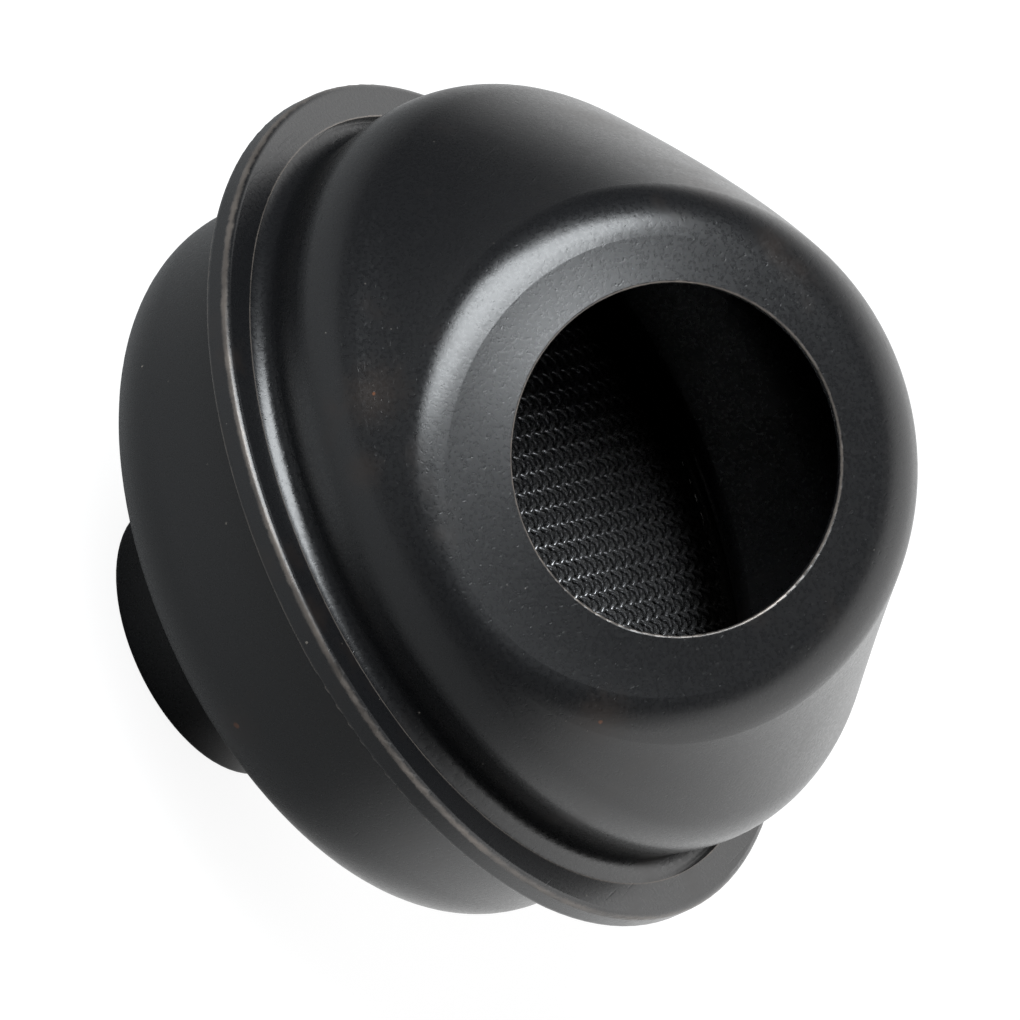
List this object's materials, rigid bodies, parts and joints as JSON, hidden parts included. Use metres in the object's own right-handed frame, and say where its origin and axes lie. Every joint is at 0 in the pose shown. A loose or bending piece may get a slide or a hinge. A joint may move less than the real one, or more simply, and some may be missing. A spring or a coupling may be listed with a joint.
{
  "type": "crankcase ventilation filter",
  "caption": "Pressed steel breather canister with a rear neck, a folded seam, an oblique domed front with a round mouth, and wire screens around a knitted packing.",
  "frame": {"origin": "middle of the neck's end, on the plane that the part stands on", "axes": "+Z along the neck's axis towards the domed front shell, -Y towards the side that the mouth faces, +X to the right when the mouth is seen from the front"},
  "size_m": [0.0898, 0.0898, 0.0846],
  "materials": {
    "black_paint": "satin black paint, worn at the seam",
    "screen_wire": "dull dark steel wire",
    "knitted_wire": "dull knitted steel wire"
  },
  "bodies": {
    "root": {"rear_shell": "black_paint", "front_shell": "black_paint", "inlet_screen": "screen_wire", "outlet_screen": "screen_wire", "filter_packing": "knitted_wire"}
  },
  "joints": []
}
